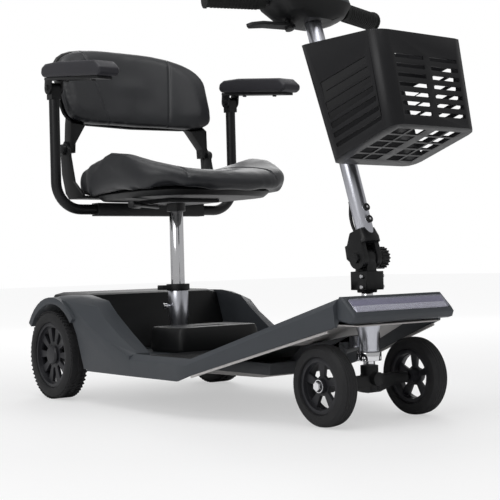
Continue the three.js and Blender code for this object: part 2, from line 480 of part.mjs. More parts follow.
// Seat pan: a ribbed tray with two rear uprights that carry the backrest hinges.
const seatFront = roundedOutline(SEAT.x, SEAT.y, 3, 36);
const seatRear = roundedOutline(SEAT.x, SEAT.y - 2, 5.5, 36);
const seatOutline = seatFront.map((p, i) => (p[1] < 0 ? p : seatRear[i]));
const seatPlace = (x, y, z) => [x, local(y + SEAT.centre), z];
const panRings = [[0.35, 1], [0.8, 1], [0.82, 0.7], [0.76, 0], [0.35, 0]];
const panBody = pillow(seatOutline, () => 452.3, (x, y) => 467 + 3 * (x / SEAT.x) ** 2, seatPlace, panRings);
const upright = (s) => join(
  prism([[-92, 460], [-92, 468], [-50, 500], [-33, 560], [-31, 578], [-12, 597], [7, 578], [2, 520], [-14, 474], [-30, 460]]
    .map(([y, z]) => [local(y), z]), "x", Math.min(s * 196, s * 204), Math.max(s * 196, s * 204)),
  box(Math.min(s * 120, s * 204), Math.max(s * 120, s * 204), local(-92), local(-32), 460, 466));
const hingeHole = rod([-230, local(BACK_HINGE[1]), BACK_HINGE[2]], [230, local(BACK_HINGE[1]), BACK_HINGE[2]], 5.3, 16);
add(seat, "seat_pan", cut(join(panBody, upright(-1), upright(1)), hingeHole), BLACK, 0.6);

// Seat cushion: dished, with raised flanks and a falling front edge.
const seatTop = (x, y) => {
  const flank = (Math.abs(x) / SEAT.x) ** 2.4;
  const front = Math.max(0, (-y - 120) / 76);
  return 508 + 56 * flank * Math.exp(-(((y + 8) / 118) ** 2)) + 16 * Math.max(0, y / 196) - 16 * front ** 2 + 8 * flank;
};
const seatLow = (x, y) => {
  const reach = Math.max(Math.abs(x) / SEAT.x, Math.abs(y) / SEAT.y);
  const arch = reach > 0.86 ? 18 * (Math.abs(x) / SEAT.x) ** 4 * Math.exp(-(((y - 20) / 85) ** 2)) : 0;
  return reach > 0.86 ? 457 + arch : 471.5;
};
const SEAT_RINGS = [[0.3, 1], [0.62, 1], [0.86, 1], [0.96, 0.94], [1, 0.7], [1, 0.3], [0.96, 0.02], [0.88, 0], [0.84, 0], [0.3, 0]];
const seatCushion = pillow(seatOutline, seatLow, seatTop, seatPlace, SEAT_RINGS);
const notch = (s) => box(Math.min(s * 194, s * 215), Math.max(s * 194, s * 215), local(-98), local(20), 440, 620);
const strapRoom = (s) => box(Math.min(s * 116, s * 215), Math.max(s * 116, s * 215), local(-92.4), local(-31.6), 440, 466.4);
add(seat, "seat_cushion", cut(seatCushion, notch(-1), notch(1), strapRoom(-1), strapRoom(1)), SOFT, 0.45);

// ---- backrest: folds forward about the hinges at the seat's rear corners ----
const back = subgroup(seat, 0, local(BACK_HINGE[1]), BACK_HINGE[2]);
const upper = roundedOutline(218, 104, 2.7, 32);
const lower = roundedOutline(214, 104, 7, 32);
const backOutline = upper.map((p, i) => (p[1] > 1 ? p : lower[i]));
const BACK_MID = 739 - BACK_HINGE[2];
const backFace = (x, z) => 30 + 0.36 * z - 42 * (x / 203) ** 2;
const backPlace = (x, z, y) => [x, y, z + BACK_MID];
add(back, "back_cushion", pillow(backOutline, backFace, (x, z) => backFace(x, z) + 38, backPlace), SOFT, 0.45);
const shellFace = (x, z) => backFace(x, z) + 38 + GAP + 0.2;
const backShell = pillow(backOutline.map(([x, z]) => [x * 0.985, z * 0.97]), shellFace, (x, z) => shellFace(x, z) + 12, backPlace,
  [[0.35, 1], [0.8, 1], [0.96, 0.85], [1, 0.4], [0.98, 0], [0.8, 0], [0.35, 0]]);
const backLeg = (s) => loft([
  [[181, -12, -8], [195.4, -12, -8], [195.4, 12, -8], [181, 12, -8]],
  [[181, -14, 14], [195.4, -14, 14], [195.4, 14, 14], [181, 14, 14]],
  [[150, -8, 60], [193, -16, 60], [193, 14, 60], [150, 22, 60]],
  [[110, 22, 84], [185, 10, 84], [185, 24, 84], [110, 34, 84]],
  [[104, 36, 112], [180, 20, 112], [180, 40, 112], [104, 48, 112]],
].map((ring) => ring.map(([x, y, z]) => [s * x, y, z])));
const backBody = cut(join(backShell, backLeg(-1), backLeg(1)),
  pillow(backOutline, (x, z) => backFace(x, z) - 3, (x, z) => backFace(x, z) + 38 + GAP, (x, z, y) => backPlace(1.004 * x, 1.004 * z, y)),
  rod([-230, 0, 0], [230, 0, 0], 5.3, 16));
add(back, "back_shell", backBody, "#1c1d1f", 0.5);
SIDES.forEach(([name, s]) => {
  add(seat, `back_hinge_${name}`, join(rod([s * 180.6, local(BACK_HINGE[1]), BACK_HINGE[2]], [s * 206, local(BACK_HINGE[1]), BACK_HINGE[2]], 5, 16),
    rod([s * 204.4, local(BACK_HINGE[1]), BACK_HINGE[2]], [s * 214, local(BACK_HINGE[1]), BACK_HINGE[2]], 13, 16, 11)), BLACK, 0.5);
});

// ---- armrests: bent tubes that slide in the sleeve, pads that flip up ----
SIDES.forEach(([name, s]) => {
  const path = new THREE.CurvePath();
  const [inner, outer, low, bend] = [s * 60, s * ARM.x, ARM.low, ARM.bend];
  const point = (x, z) => new THREE.Vector3(x, armY, z);
  path.add(new THREE.LineCurve3(point(inner, low), point(outer - s * bend, low)));
  path.add(new THREE.QuadraticBezierCurve3(point(outer - s * bend, low), point(outer - s * 8, low + 8), point(outer, low + bend)));
  path.add(new THREE.LineCurve3(point(outer, low + bend), point(outer, ARM.top - 26)));
  const tube = sweep(path, ARM.tube, 12, 12);
  const lug = join(box(outer - 12, outer + 12, armY - 12, armY + 12, ARM.top - 30, ARM.top - 4), rod([outer - 12, armY, ARM.top - 4], [outer + 12, armY, ARM.top - 4], 12, 20));
  add(seat, `arm_tube_${name}`, cut(join(tube, lug), rod([outer - 20, armY, ARM.top - 4], [outer + 20, armY, ARM.top - 4], 4.3, 16)), BLACK, 0.45, 0.2);
  const flip = subgroup(seat, outer, armY, ARM.top - 4);
  flip.rotation.x = rad(ARM.tilt);
  const cheekPlate = (t) => join(rod([t * 12.4, 0, 0], [t * 16.4, 0, 0], 15, 20), box(Math.min(t * 12.4, t * 16.4), Math.max(t * 12.4, t * 16.4), -15, 15, 0, 19));
  const plate = box(-18, 18, -228, 14, 17, 23);
  const bolts = [-60, -180].map((y) => rod([0, y, 13], [0, y, 18], 5, 10));
  const pivotBolt = [rod([-18, 0, 0], [18, 0, 0], 4, 16), ...[-1, 1].map((t) => rod([t * 16, 0, 0], [t * 20.5, 0, 0], 7, 6))];
  add(flip, `arm_bracket_${name}`, join(cheekPlate(-1), cheekPlate(1), plate, ...bolts, ...pivotBolt), BLACK, 0.5, 0.4);
  const pad = [[10, 24], [-236, 24], [-246, 30], [-246, 42], [-222, 56], [-60, 58], [0, 54], [16, 46], [18, 32]];
  add(flip, `arm_pad_${name}`, prism(pad.map(([y, z]) => [y, z - 0.7]), "x", -27, 27, 4), "#37363b", 0.6);
});

// ---- put the middle of the whole object's box over the origin, standing on z = 0 ----
group.updateMatrixWorld(true);
const whole = new THREE.Box3().setFromObject(group, true);
scooter.position.set(-(whole.min.x + whole.max.x) / 2, -(whole.min.y + whole.max.y) / 2, -whole.min.z);

export default group;
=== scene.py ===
import json
import math
import bpy
import bmesh
from mathutils import Matrix, Vector
from mathutils.bvhtree import BVHTree


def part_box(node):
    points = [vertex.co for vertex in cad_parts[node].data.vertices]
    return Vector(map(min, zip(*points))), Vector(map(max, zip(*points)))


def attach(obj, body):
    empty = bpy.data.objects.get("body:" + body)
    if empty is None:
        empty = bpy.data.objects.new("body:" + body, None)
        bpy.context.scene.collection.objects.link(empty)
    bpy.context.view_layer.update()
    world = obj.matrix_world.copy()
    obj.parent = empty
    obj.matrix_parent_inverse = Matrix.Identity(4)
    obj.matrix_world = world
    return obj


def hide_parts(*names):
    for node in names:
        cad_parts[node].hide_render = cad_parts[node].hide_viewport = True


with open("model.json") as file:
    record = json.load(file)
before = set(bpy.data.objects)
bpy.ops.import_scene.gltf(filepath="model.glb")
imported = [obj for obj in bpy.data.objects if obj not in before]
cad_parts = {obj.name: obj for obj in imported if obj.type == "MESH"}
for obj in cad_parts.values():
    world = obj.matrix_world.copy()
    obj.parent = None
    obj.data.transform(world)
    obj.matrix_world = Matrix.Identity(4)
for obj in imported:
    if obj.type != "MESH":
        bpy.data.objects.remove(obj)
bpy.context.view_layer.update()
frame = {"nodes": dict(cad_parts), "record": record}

scene = bpy.context.scene
scene.view_settings.view_transform = "Standard"

# ---- Studio ----
# A long lens a little above knee height looks along the scooter from its front
# right corner, over a pale floor that runs into a white backdrop.
eye = Vector((-1.4905, -1.9527, 0.3043))
yaw, pitch, roll = math.radians(37.5), math.radians(-0.6), math.radians(-1.5)
ahead = Vector((math.sin(yaw) * math.cos(pitch), math.cos(yaw) * math.cos(pitch), -math.sin(pitch)))
level = Vector((math.cos(yaw), -math.sin(yaw), 0))
upward = level.cross(ahead)
across = level * math.cos(roll) + upward * math.sin(roll)
upright = upward * math.cos(roll) - level * math.sin(roll)
camera = bpy.data.objects.new("camera", bpy.data.cameras.new("camera"))
camera.data.lens = 82.48
camera.matrix_world = Matrix((
    (across.x, upright.x, -ahead.x, eye.x),
    (across.y, upright.y, -ahead.y, eye.y),
    (across.z, upright.z, -ahead.z, eye.z),
    (0, 0, 0, 1)))
scene.collection.objects.link(camera)
scene.camera = camera

world = bpy.data.worlds.new("studio")
scene.world = world
world.use_nodes = True
sky = world.node_tree
sky.nodes["Background"].inputs["Color"].default_value = (1, 1, 1, 1)
sky.nodes["Background"].inputs["Strength"].default_value = 0.42
backdrop = sky.nodes.new("ShaderNodeBackground")
backdrop.inputs["Color"].default_value = (1, 1, 1, 1)
backdrop.inputs["Strength"].default_value = 1.0
ray = sky.nodes.new("ShaderNodeLightPath")
choose = sky.nodes.new("ShaderNodeMixShader")
sky.links.new(ray.outputs["Is Camera Ray"], choose.inputs[0])
sky.links.new(sky.nodes["Background"].outputs[0], choose.inputs[1])
sky.links.new(backdrop.outputs[0], choose.inputs[2])
sky.links.new(choose.outputs[0], sky.nodes["World Output"].inputs[0])

for title, place, size, watts in [
    ("overhead_bank", (-0.3, -0.2, 2.6), 2.4, 34),
    ("left_bank", (-2.4, -0.6, 1.5), 1.4, 16),
    ("back_bank", (1.6, 2.2, 1.7), 1.6, 16),
]:
    lamp = bpy.data.objects.new(title, bpy.data.lights.new(title, "AREA"))
    lamp.data.size = size
    lamp.data.energy = watts
    lamp.location = place
    lamp.rotation_euler = (Vector((0, 0, 0.35)) - Vector(place)).to_track_quat("-Z", "Y").to_euler()
    scene.collection.objects.link(lamp)

floor_mesh = bpy.data.meshes.new("studio_floor")
floor_mesh.from_pydata([(-14, -14, 0), (14, -14, 0), (14, 14, 0), (-14, 14, 0)], [], [(0, 1, 2, 3)])
floor = bpy.data.objects.new("studio_floor", floor_mesh)
scene.collection.objects.link(floor)
paper = bpy.data.materials.new("studio_paper")
paper.use_nodes = True
paper_nodes = paper.node_tree
coat = paper_nodes.nodes["Principled BSDF"]
coat.inputs["Base Color"].default_value = (0.9, 0.9, 0.905, 1)
coat.inputs["Roughness"].default_value = 0.55
# Painted light: for camera rays half the floor is a glow that grows from 1.0 at 0.7 m to 1.5 at 3.2 m from the middle.
# It whitens the far floor into the backdrop and leaves the floor greyer near the scooter.
glow = paper_nodes.nodes.new("ShaderNodeEmission")
glow.inputs["Color"].default_value = (1, 1, 1, 1)
fade = bpy.data.node_groups.new("floor_painted_glow", "ShaderNodeTree")
fade.interface.new_socket("Vector", in_out="INPUT", socket_type="NodeSocketVector")
fade.interface.new_socket("Emission", in_out="OUTPUT", socket_type="NodeSocketFloat")
fade_in, fade_out = fade.nodes.new("NodeGroupInput"), fade.nodes.new("NodeGroupOutput")
reach = fade.nodes.new("ShaderNodeVectorMath")
reach.operation = "LENGTH"
lift = fade.nodes.new("ShaderNodeMapRange")
lift.inputs["From Min"].default_value = 0.7
lift.inputs["From Max"].default_value = 3.2
lift.inputs["To Min"].default_value = 1.0
lift.inputs["To Max"].default_value = 1.5
fade.links.new(fade_in.outputs[0], reach.inputs[0])
fade.links.new(reach.outputs["Value"], lift.inputs["Value"])
fade.links.new(lift.outputs[0], fade_out.inputs[0])
spot = paper_nodes.nodes.new("ShaderNodeTexCoord")
paper_painted_glow = paper_nodes.nodes.new("ShaderNodeGroup")
paper_painted_glow.node_tree = fade
paper_nodes.links.new(spot.outputs["Object"], paper_painted_glow.inputs[0])
paper_nodes.links.new(paper_painted_glow.outputs[0], glow.inputs["Color"])
paper_ray = paper_nodes.nodes.new("ShaderNodeLightPath")
share = paper_nodes.nodes.new("ShaderNodeMath")
share.operation = "MULTIPLY"
share.inputs[1].default_value = 0.5
paper_mix = paper_nodes.nodes.new("ShaderNodeMixShader")
paper_nodes.links.new(paper_ray.outputs["Is Camera Ray"], share.inputs[0])
paper_nodes.links.new(share.outputs[0], paper_mix.inputs[0])
paper_nodes.links.new(coat.outputs[0], paper_mix.inputs[1])
paper_nodes.links.new(glow.outputs[0], paper_mix.inputs[2])
paper_nodes.links.new(paper_mix.outputs[0], paper_nodes.nodes["Material Output"].inputs[0])
floor_mesh.materials.append(paper)

# ---- Deck shell and fairings ----
# One moulded charcoal shell: flat footwell, ramp to the nose, side skirts and
# fenders. It is injection moulded with a fine spark grain and soft edges.
BODY_OF = {node: body for body, nodes in frame["record"]["behaviour"]["bodies"].items() for node in nodes}


def effect_group(title, inputs, outputs, build):
    group = bpy.data.node_groups.new(title, "ShaderNodeTree")
    for name, kind, value in inputs:
        socket = group.interface.new_socket(name, in_out="INPUT", socket_type=kind)
        socket.default_value = value
    for name, kind in outputs:
        group.interface.new_socket(name, in_out="OUTPUT", socket_type=kind)
    build(group.nodes, group.links, group.nodes.new("NodeGroupInput"), group.nodes.new("NodeGroupOutput"))
    return group


def noise_node(nodes, links, vector, scale, detail=3.0):
    noise = nodes.new("ShaderNodeTexNoise")
    noise.inputs["Detail"].default_value = detail
    if isinstance(scale, float):
        noise.inputs["Scale"].default_value = scale
    else:
        links.new(scale, noise.inputs["Scale"])
    links.new(vector, noise.inputs["Vector"])
    return noise.outputs["Fac"]


def spread_node(nodes, links, value, low, high):
    ramp = nodes.new("ShaderNodeMapRange")
    links.new(value, ramp.inputs["Value"])
    for name, source in (("To Min", low), ("To Max", high)):
        if isinstance(source, float):
            ramp.inputs[name].default_value = source
        else:
            links.new(source, ramp.inputs[name])
    return ramp.outputs[0]


def build_moulded(nodes, links, given, out):
    fine = noise_node(nodes, links, given.outputs["Vector"], given.outputs["Grain"])
    broad = noise_node(nodes, links, given.outputs["Vector"], 9.0)
    rubbed = noise_node(nodes, links, given.outputs["Vector"], 42.0, 5.0)
    links.new(fine, out.inputs["Height"])
    gloss = spread_node(nodes, links, rubbed, given.outputs["Gloss Low"], given.outputs["Gloss High"])
    links.new(gloss, out.inputs["Roughness"])
    shade = nodes.new("ShaderNodeMix")
    shade.data_type = "RGBA"
    links.new(broad, shade.inputs["Factor"])
    links.new(given.outputs["Colour"], shade.inputs["A"])
    links.new(given.outputs["Faded"], shade.inputs["B"])
    links.new(shade.outputs["Result"], out.inputs["Colour"])


MOULDED = effect_group("moulded_grain", [
    ("Vector", "NodeSocketVector", (0, 0, 0)), ("Grain", "NodeSocketFloat", 900.0),
    ("Colour", "NodeSocketColor", (0.05, 0.05, 0.05, 1)), ("Faded", "NodeSocketColor", (0.06, 0.06, 0.06, 1)),
    ("Gloss Low", "NodeSocketFloat", 0.4), ("Gloss High", "NodeSocketFloat", 0.6)],
    [("Colour", "NodeSocketColor"), ("Roughness", "NodeSocketFloat"), ("Height", "NodeSocketFloat")], build_moulded)


def blank(title):
    material = bpy.data.materials.new(title)
    material.use_nodes = True
    return material, material.node_tree.nodes, material.node_tree.links, material.node_tree.nodes["Principled BSDF"]


def bumped(nodes, links, height, shader, depth, strength):
    bump = nodes.new("ShaderNodeBump")
    bump.inputs["Distance"].default_value = depth
    bump.inputs["Strength"].default_value = strength
    links.new(height, bump.inputs["Height"])
    links.new(bump.outputs[0], shader.inputs["Normal"])


def moulded(title, colour, gloss=(0.4, 0.55), grain=900.0, depth=0.0002, strength=0.35,
             metal=0.0, fade=1.25, coat_weight=0.0):
    material, nodes, links, shader = blank(title)
    place = nodes.new("ShaderNodeTexCoord")
    effect = nodes.new("ShaderNodeGroup")
    effect.node_tree = MOULDED
    links.new(place.outputs["Object"], effect.inputs["Vector"])
    effect.inputs["Grain"].default_value = grain
    effect.inputs["Colour"].default_value = (*colour, 1)
    effect.inputs["Faded"].default_value = (*[min(1, c * fade) for c in colour], 1)
    effect.inputs["Gloss Low"].default_value, effect.inputs["Gloss High"].default_value = gloss
    links.new(effect.outputs["Colour"], shader.inputs["Base Color"])
    links.new(effect.outputs["Roughness"], shader.inputs["Roughness"])
    shader.inputs["Metallic"].default_value = metal
    shader.inputs["Coat Weight"].default_value = coat_weight
    shader.inputs["Specular IOR Level"].default_value = 0.32
    bumped(nodes, links, effect.outputs["Height"], shader, depth, strength)
    return material


def finish_mesh(mesh, sharp=38):
    mesh.polygons.foreach_set("use_smooth", [True] * len(mesh.polygons))
    mesh.set_sharp_from_angle(angle=math.radians(sharp))
    return mesh


def show(title, mesh, material, body, *nodes, slot=None):
    """A finished mesh becomes a piece on a body, in place of its CAD nodes."""
    mesh.materials.clear()
    mesh.materials.append(material)
    piece = bpy.data.objects.new(title, mesh)
    scene.collection.objects.link(piece)
    if nodes:
        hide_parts(*nodes)
    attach(piece, body)
    return piece


def baked(holder, title):
    """The holder's modifiers turned into a plain mesh; the holder goes."""
    bpy.context.view_layer.update()
    result = bpy.data.meshes.new_from_object(holder.evaluated_get(bpy.context.evaluated_depsgraph_get()))
    result.name = title
    bpy.data.objects.remove(holder)
    return result


def softened(node, title, edge=0.0012, steps=2, limit=32, flat=1.0):
    """A CAD solid's own shape with its corners rounded as moulding or machining leaves them."""
    bm = bmesh.new()
    bm.from_mesh(frame["nodes"][node].data)
    bmesh.ops.remove_doubles(bm, verts=bm.verts, dist=2e-6)
    bmesh.ops.dissolve_limit(bm, angle_limit=math.radians(flat), verts=bm.verts, edges=bm.edges)
    mesh = bpy.data.meshes.new(title)
    bm.to_mesh(mesh)
    bm.free()
    holder = bpy.data.objects.new(title + "_work", mesh)
    scene.collection.objects.link(holder)
    bevel = holder.modifiers.new("edge", "BEVEL")
    bevel.width = edge
    bevel.segments = steps
    bevel.limit_method = "ANGLE"
    bevel.angle_limit = math.radians(limit)
    bevel.harden_normals = False
    return finish_mesh(baked(holder, title))


def kept(node, title, material, edge=0.0012, steps=2, limit=32, slot=None):
    return show(title, softened(node, title, edge, steps, limit), material, BODY_OF[node], node, slot=slot)


charcoal = moulded("charcoal_moulding", (0.044, 0.049, 0.056), (0.36, 0.48), 1300.0, 0.00015, 0.3)
kept("body_shell", "deck_shell", charcoal, 0.003, 3, 24, "charcoal_plastic")

# ---- Rear cover and floor ----
# The cover over the drive is black with a satin grain; the footwell has a
# rubber mat with close ribs across it. Trays close the underside, and a strip runs along the lower edge of each skirt;
# both are coloured pale, which is partly the trays' own tone and partly painted reflection of the white floor on faces
# turned down to it.
black = moulded("black_moulding", (0.0062, 0.0065, 0.007), (0.36, 0.5), 1300.0, 0.00015, 0.3)
kept("rear_cover", "drive_cover", black, 0.005, 4, 20, "black_plastic")
kept("battery_case", "battery_box", black, 0.004, 4, 24, "black_plastic")
mat_rubber = moulded("mat_rubber", (0.012, 0.0125, 0.014), (0.6, 0.75), 500.0, 0.0004, 0.6)
kept("floor_mat", "foot_mat", mat_rubber, 0.0008, 2, slot="mat_rubber")
# Pale colour, partly painted: it stands in for the white floor's reflection under the deck and along the skirts' lower
# edges.
pale = moulded("pale_tray_and_painted_floor_reflection", (0.55, 0.53, 0.52), (0.45, 0.6), 600.0, 0.0003, 0.3, fade=0.9)
kept("nose_tray", "nose_under_tray", pale, 0.004, 3, slot="pale_plastic")
kept("belly_tray", "belly_pan", pale, 0.003, 3, slot="pale_plastic")


def growing_tree(title, inputs):
    """An empty Geometry Nodes tree with named size inputs and a finish."""
    tree = bpy.data.node_groups.new(title, "GeometryNodeTree")
    tree.interface.new_socket("Geometry", in_out="INPUT", socket_type="NodeSocketGeometry")
    for name, kind, value in inputs:
        tree.interface.new_socket(name, in_out="INPUT", socket_type=kind).default_value = value
    tree.interface.new_socket("Finish", in_out="INPUT", socket_type="NodeSocketMaterial")
    tree.interface.new_socket("Geometry", in_out="OUTPUT", socket_type="NodeSocketGeometry")
    return tree, tree.nodes, tree.links, tree.nodes.new("NodeGroupInput")


def dressed_tree(tree, copies, given):
    """The tree's last steps: instances made real, then given their finish."""
    real = tree.nodes.new("GeometryNodeRealizeInstances")
    dress = tree.nodes.new("GeometryNodeSetMaterial")
    tree.links.new(copies, real.inputs[0])
    tree.links.new(real.outputs[0], dress.inputs["Geometry"])
    tree.links.new(given.outputs["Finish"], dress.inputs["Material"])
    tree.links.new(dress.outputs[0], tree.nodes.new("NodeGroupOutput").inputs[0])
    return tree


def row_tree():
    """Blocks laid at even steps along a path: count, size, the last one's width and the way they face are inputs."""
    tree, nodes, links, given = growing_tree("laid_row", (
        ("Blocks", "NodeSocketInt", 20), ("Block", "NodeSocketVector", (0.01, 0.001, 0.001)),
        ("Last Width", "NodeSocketFloat", 1.0), ("Facing", "NodeSocketVector", (0, 0, 1))))
    path = nodes.new("GeometryNodeMeshToCurve")
    even = nodes.new("GeometryNodeResampleCurve")
    links.new(given.outputs["Geometry"], path.inputs["Mesh"])
    links.new(path.outputs[0], even.inputs["Curve"])
    links.new(given.outputs["Blocks"], even.inputs["Count"])
    block = nodes.new("GeometryNodeMeshCube")
    links.new(given.outputs["Block"], block.inputs["Size"])
    along = nodes.new("GeometryNodeInputTangent")
    first = nodes.new("FunctionNodeAlignRotationToVector")
    first.axis = "Y"
    links.new(along.outputs[0], first.inputs["Vector"])
    second = nodes.new("FunctionNodeAlignRotationToVector")
    second.axis, second.pivot_axis = "Z", "Y"
    links.new(first.outputs[0], second.inputs["Rotation"])
    links.new(given.outputs["Facing"], second.inputs["Vector"])
    share = nodes.new("GeometryNodeSplineParameter")
    taper = nodes.new("ShaderNodeMapRange")
    taper.inputs["To Min"].default_value = 1.0
    links.new(share.outputs["Factor"], taper.inputs["Value"])
    links.new(given.outputs["Last Width"], taper.inputs["To Max"])
    widths = nodes.new("ShaderNodeCombineXYZ")
    widths.inputs["Y"].default_value = widths.inputs["Z"].default_value = 1.0
    links.new(taper.outputs[0], widths.inputs["X"])
    place = nodes.new("GeometryNodeInstanceOnPoints")
    links.new(even.outputs[0], place.inputs["Points"])
    links.new(block.outputs["Mesh"], place.inputs["Instance"])
    links.new(second.outputs[0], place.inputs["Rotation"])
    links.new(widths.outputs[0], place.inputs["Scale"])
    return dressed_tree(tree, place.outputs[0], given)


def stud_tree():
    """Round or six-sided heads on points: sides, radius, height and the way they face are inputs."""
    tree, nodes, links, given = growing_tree("studs", (
        ("Sides", "NodeSocketInt", 6), ("Radius", "NodeSocketFloat", 0.004),
        ("Height", "NodeSocketFloat", 0.003), ("Facing", "NodeSocketVector", (0, 0, 1))))
    spots = nodes.new("GeometryNodeMeshToPoints")
    links.new(given.outputs["Geometry"], spots.inputs["Mesh"])
    head = nodes.new("GeometryNodeMeshCylinder")
    links.new(given.outputs["Sides"], head.inputs["Vertices"])
    links.new(given.outputs["Radius"], head.inputs["Radius"])
    links.new(given.outputs["Height"], head.inputs["Depth"])
    facing = nodes.new("FunctionNodeAlignRotationToVector")
    facing.axis = "Z"
    links.new(given.outputs["Facing"], facing.inputs["Vector"])
    place = nodes.new("GeometryNodeInstanceOnPoints")
    links.new(spots.outputs[0], place.inputs["Points"])
    links.new(head.outputs["Mesh"], place.inputs["Instance"])
    links.new(facing.outputs[0], place.inputs["Rotation"])
    return dressed_tree(tree, place.outputs[0], given)


def grown(tree, title, points=(), chained=False, **values):
    """A mesh made by a node tree from its named inputs, over points or a path through them."""
    mesh = bpy.data.meshes.new(title)
    mesh.from_pydata([tuple(p) for p in points], [(i, i + 1) for i in range(len(points) - 1)] if chained else [], [])
    holder = bpy.data.objects.new(title + "_work", mesh)
    scene.collection.objects.link(holder)
    modifier = holder.modifiers.new("grow", "NODES")
    modifier.node_group = tree
    for item in tree.interface.items_tree:
        if item.item_type == "SOCKET" and item.in_out == "INPUT" and item.name in values:
            modifier[item.identifier] = values[item.name]
    return baked(holder, title)


ROW, STUDS = row_tree(), stud_tree()


def row(title, points, material, body, **values):
    return show(title, finish_mesh(grown(ROW, title, points, True, Finish=material, **values)), material, body)


def studs(title, points, material, body, **values):
    return show(title, finish_mesh(grown(STUDS, title, points, Finish=material, **values)), material, body)


def middle(node):
    low, high = (Vector(c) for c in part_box(node))
    return (low + high) / 2, high - low


AXLE = middle("tyre_rear_right")[0].y


def at(x, y, z):
    """A point measured from the middle of the rear axle's line on the ground."""
    return Vector((x, AXLE + y, z))


row("foot_mat_ribs", [at(0, -0.345, 0.1132), at(0, -0.537, 0.1132)], mat_rubber, "chassis", Blocks=42,
    Block=(0.408, 0.0021, 0.0012))
row("ramp_mat_ribs", [at(0, -0.546, 0.1153), at(0, -0.772, 0.196)], mat_rubber, "chassis", Blocks=52,
    Block=(0.408, 0.0021, 0.0012), **{"Last Width": 0.67})
# A pale strip along each skirt's lower edge: painted reflection of the white floor.
for side, name in ((-1, "right"), (1, "left")):
    edge_reflection_path = [at(side * x, y, z) for x, y, z in
            ((0.2275, -0.548, 0.084), (0.2, -0.6375, 0.1115), (0.163, -0.757, 0.148), (0.1365, -0.845, 0.1745))]
    row(f"skirt_trim_{name}", edge_reflection_path, pale, "chassis", Blocks=110, Block=(0.004, 0.0036, 0.0045))

# ---- Chassis, drive and stem ----
# Painted steel rails, a cast transaxle, an anodised head tube and a plated stem.
frame_paint = moulded("frame_paint", (0.07, 0.073, 0.078), (0.4, 0.6), 300.0, 0.0003, 0.4, 0.3)
kept("chassis_frame", "chassis_rails", frame_paint, 0.0015, slot="frame_paint")
cast = moulded("cast_drive", (0.15, 0.155, 0.165), (0.5, 0.7), 500.0, 0.0006, 0.7, 0.6)
kept("transaxle", "drive_unit", cast, 0.002, slot="cast_drive")
kept("controller", "controller_box", black, 0.002)
black_metal = moulded("powder_coat", (0.0066, 0.0068, 0.0075), (0.3, 0.45), 1600.0, 0.0002, 0.5)


def build_drawn(nodes, links, given, out):
    stretch = nodes.new("ShaderNodeVectorMath")
    stretch.operation = "MULTIPLY"
    links.new(given.outputs["Vector"], stretch.inputs[0])
    links.new(given.outputs["Along"], stretch.inputs[1])
    lines = noise_node(nodes, links, stretch.outputs[0], given.outputs["Fineness"], 2.0)
    gloss = spread_node(nodes, links, lines, given.outputs["Gloss Low"], given.outputs["Gloss High"])
    links.new(gloss, out.inputs["Roughness"])
    links.new(lines, out.inputs["Height"])


DRAWN = effect_group("drawn_metal", [
    ("Vector", "NodeSocketVector", (0, 0, 0)), ("Along", "NodeSocketVector", (1, 1, 0.05)),
    ("Fineness", "NodeSocketFloat", 900.0), ("Gloss Low", "NodeSocketFloat", 0.2),
    ("Gloss High", "NodeSocketFloat", 0.4)],
    [("Roughness", "NodeSocketFloat"), ("Height", "NodeSocketFloat")], build_drawn)


def drawn(title, colour, gloss, along=(1, 1, 0.04), strength=0.15):
    material, nodes, links, shader = blank(title)
    place = nodes.new("ShaderNodeTexCoord")
    effect = nodes.new("ShaderNodeGroup")
    effect.node_tree = DRAWN
    links.new(place.outputs["Object"], effect.inputs["Vector"])
    effect.inputs["Along"].default_value = along
    effect.inputs["Gloss Low"].default_value, effect.inputs["Gloss High"].default_value = gloss
    shader.inputs["Base Color"].default_value = (*colour, 1)
    shader.inputs["Metallic"].default_value = 1.0
    links.new(effect.outputs["Roughness"], shader.inputs["Roughness"])
    bumped(nodes, links, effect.outputs["Height"], shader, 0.0001, strength)
    return material


anodised = drawn("anodised_tube", (0.62, 0.63, 0.68), (0.24, 0.36))
chrome = drawn("chrome_plate", (0.82, 0.82, 0.84), (0.04, 0.12), strength=0.03)
kept("head_tube", "steering_head_tube", anodised, 0.001, slot="silver_tube")
kept("post_socket", "seat_post_socket", anodised, 0.001, slot="silver_tube")
kept("post_clamp", "seat_post_clamp", black, 0.0012)
kept("lock_pin", "seat_post_pin", chrome, 0.0008)
kept("steer_stem", "stem_and_bearing", chrome, 0.0008)
kept("front_axle", "front_axle_beam", black_metal, 0.0015, slot="black_metal")
kept("fold_base", "fold_joint_clamp", black_metal, 0.0015)
kept("fold_head", "fold_joint_casting", black_metal, 0.002, 3)

for side, name in ((-1, "right"), (1, "left")):
    studs(f"stem_clamp_bolts_{name}", [at(side * 0.0275, -0.822, z) for z in (0.252, 0.272)], chrome, "front_fork",
          Sides=6, Radius=0.0036, Height=0.003, Facing=(side, 0, 0))
    studs(f"front_axle_nut_{name}", [at(side * 0.1335, -0.812, 0.0755)], chrome, f"front_wheel_{name}",
          Sides=6, Radius=0.0085, Height=0.007, Facing=(side, 0, 0))
    studs(f"front_axle_washer_{name}", [at(side * 0.1305, -0.812, 0.0755)], chrome, f"front_wheel_{name}",
          Sides=32, Radius=0.012, Height=0.0015, Facing=(side, 0, 0))

